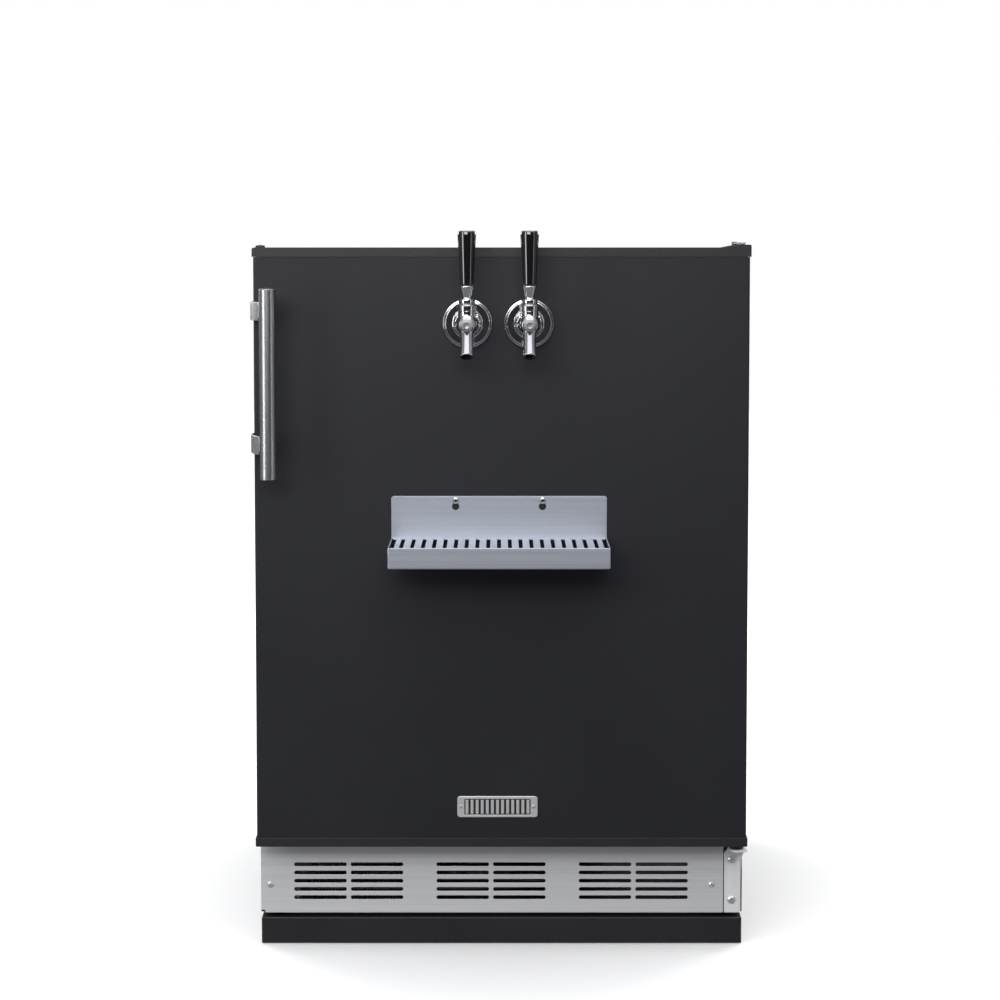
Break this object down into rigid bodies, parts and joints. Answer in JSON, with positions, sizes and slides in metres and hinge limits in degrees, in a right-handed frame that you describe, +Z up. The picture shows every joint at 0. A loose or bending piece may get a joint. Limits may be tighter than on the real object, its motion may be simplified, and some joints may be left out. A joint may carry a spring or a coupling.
{
  "type": "kegerator",
  "caption": "Undercounter beer dispenser: insulated cabinet with a hinged door carrying tilting taps and a drip tray, slotted kick grille, toe kick and levelling feet.",
  "frame": {"origin": "on the floor, under the middle of the object's bounding box (the levelling feet stand at z = 0)", "axes": "+Z up, the door's front faces -Y, +X to the right of someone facing the door"},
  "size_m": [0.6037, 0.7005, 0.885],
  "materials": {
    "black_paint": "satin",
    "black_plastic": "matte",
    "gloss_black": "gloss",
    "brushed_stainless": "satin",
    "chrome": "polished",
    "zinc_steel": "satin",
    "fin_stock": "satin",
    "white_liner": "satin",
    "foam": "matte",
    "gasket_rubber": "matte",
    "lens": "gloss",
    "cylinder_shell": "satin",
    "brass": "satin"
  },
  "bodies": {
    "cabinet": {"cabinet_wrapper": "black_paint", "inner_liner": "white_liner", "insulation_foam": "foam", "back_panel": "zinc_steel", "base_frame": "black_paint", "toe_kick": "black_paint", "kick_grille": "brushed_stainless", "keg_floor_plate": "brushed_stainless", "lower_hinge_bracket": "brushed_stainless", "bracket_screw_upper": "chrome", "bracket_screw_lower": "chrome", "upper_hinge_plate": "zinc_steel", "compressor": "black_paint", "condenser": "fin_stock", "fan_shroud": "black_plastic", "evaporation_pan": "black_plastic", "power_inlet": "black_plastic", "evaporator_cover": "white_liner", "thermostat_housing": "white_liner", "light_lens": "lens", "co2_cylinder": "cylinder_shell", "cylinder_bracket": "zinc_steel", "regulator_body": "brass", "tank_gauge": "zinc_steel", "line_gauge": "zinc_steel"},
    "door": {"door_panel": "black_paint", "door_top_cap": "black_plastic", "door_bottom_cap": "black_plastic", "door_foam": "foam", "door_liner": "white_liner", "door_gasket": "gasket_rubber", "handle_tube": "brushed_stainless", "handle_bracket_upper": "brushed_stainless", "handle_bracket_lower": "brushed_stainless", "badge_plate": "brushed_stainless", "tray_screw_left": "chrome", "tray_screw_right": "chrome", "tap_shank_left": "chrome", "coupling_nut_left": "chrome", "faucet_body_left": "chrome", "tap_shank_right": "chrome", "coupling_nut_right": "chrome", "faucet_body_right": "chrome"},
    "thermostat_knob": {"thermostat_knob": "black_plastic"},
    "condenser_fan": {"condenser_fan": "black_plastic"},
    "evaporator_fan": {"evaporator_fan": "black_plastic"},
    "co2_handwheel": {"co2_handwheel": "black_plastic"},
    "regulator_knob": {"regulator_knob": "black_plastic"},
    "drip_tray": {"drip_tray": "brushed_stainless"},
    "drip_grid": {"drip_grid": "brushed_stainless"},
    "foot_front_left": {"leveling_foot_front_left": "zinc_steel"},
    "foot_front_right": {"leveling_foot_front_right": "zinc_steel"},
    "foot_back_left": {"leveling_foot_back_left": "zinc_steel"},
    "foot_back_right": {"leveling_foot_back_right": "zinc_steel"},
    "tap_lever_left": {"tap_lever_left": "chrome", "tap_handle_left": "gloss_black"},
    "valve_left": {"valve_shaft_left": "chrome"},
    "tap_lever_right": {"tap_lever_right": "chrome", "tap_handle_right": "gloss_black"},
    "valve_right": {"valve_shaft_right": "chrome"}
  },
  "joints": [
    {"name": "door_hinge", "type": "hinge", "parent": "cabinet", "child": "door", "pos_m": [0.2895, -0.229, 0.5], "axis": [0, 0, 1], "range_deg": [0, 110]},
    {"name": "tap_lever_left_pivot", "type": "hinge", "parent": "door", "child": "tap_lever_left", "pos_m": [-0.041, -0.306, 0.8035], "axis": [1, 0, 0], "range_deg": [0, 35]},
    {"name": "valve_left_travel", "type": "slide", "parent": "door", "child": "valve_left", "axis": [0, 1, 0], "range_m": [0, 0.005]},
    {"name": "tap_lever_right_pivot", "type": "hinge", "parent": "door", "child": "tap_lever_right", "pos_m": [0.033, -0.306, 0.8035], "axis": [1, 0, 0], "range_deg": [0, 35]},
    {"name": "valve_right_travel", "type": "slide", "parent": "door", "child": "valve_right", "axis": [0, 1, 0], "range_m": [0, 0.005]},
    {"name": "drip_tray_lift", "type": "slide", "parent": "door", "child": "drip_tray", "axis": [0, 0, 1], "range_m": [0, 0.0074]},
    {"name": "drip_grid_lift", "type": "slide", "parent": "drip_tray", "child": "drip_grid", "axis": [0, 0, 1], "range_m": [0, 0.03]},
    {"name": "thermostat_turn", "type": "hinge", "parent": "cabinet", "child": "thermostat_knob", "pos_m": [-0.04, -0.11, 0.78], "axis": [0, 0, -1], "range_deg": [0, 270]},
    {"name": "condenser_fan_spin", "type": "hinge", "parent": "cabinet", "child": "condenser_fan", "pos_m": [-0.088, -0.129, 0.086], "axis": [0, 1, 0], "continuous": true},
    {"name": "evaporator_fan_spin", "type": "hinge", "parent": "cabinet", "child": "evaporator_fan", "pos_m": [-0.045, 0.288, 0.66], "axis": [0, 1, 0], "continuous": true},
    {"name": "co2_handwheel_turn", "type": "hinge", "parent": "cabinet", "child": "co2_handwheel", "pos_m": [0.2005, 0.2475, 0.604], "axis": [0, 0, 1], "range_deg": [0, 1080]},
    {"name": "regulator_knob_turn", "type": "hinge", "parent": "cabinet", "child": "regulator_knob", "pos_m": [0.2005, 0.148, 0.577], "axis": [0, 1, 0], "range_deg": [-720, 720]},
    {"name": "foot_front_left_screw", "type": "slide", "parent": "cabinet", "child": "foot_front_left", "axis": [0, 0, -1], "range_m": [-0.01, 0.015]},
    {"name": "foot_front_right_screw", "type": "slide", "parent": "cabinet", "child": "foot_front_right", "axis": [0, 0, -1], "range_m": [-0.01, 0.015]},
    {"name": "foot_back_left_screw", "type": "slide", "parent": "cabinet", "child": "foot_back_left", "axis": [0, 0, -1], "range_m": [-0.01, 0.015]},
    {"name": "foot_back_right_screw", "type": "slide", "parent": "cabinet", "child": "foot_back_right", "axis": [0, 0, -1], "range_m": [-0.01, 0.015]}
  ],
  "couplings": [
    {"joint": "valve_left_travel", "follows": "tap_lever_left_pivot", "m_per_rad": 0.008},
    {"joint": "valve_right_travel", "follows": "tap_lever_right_pivot", "m_per_rad": 0.008}
  ]
}
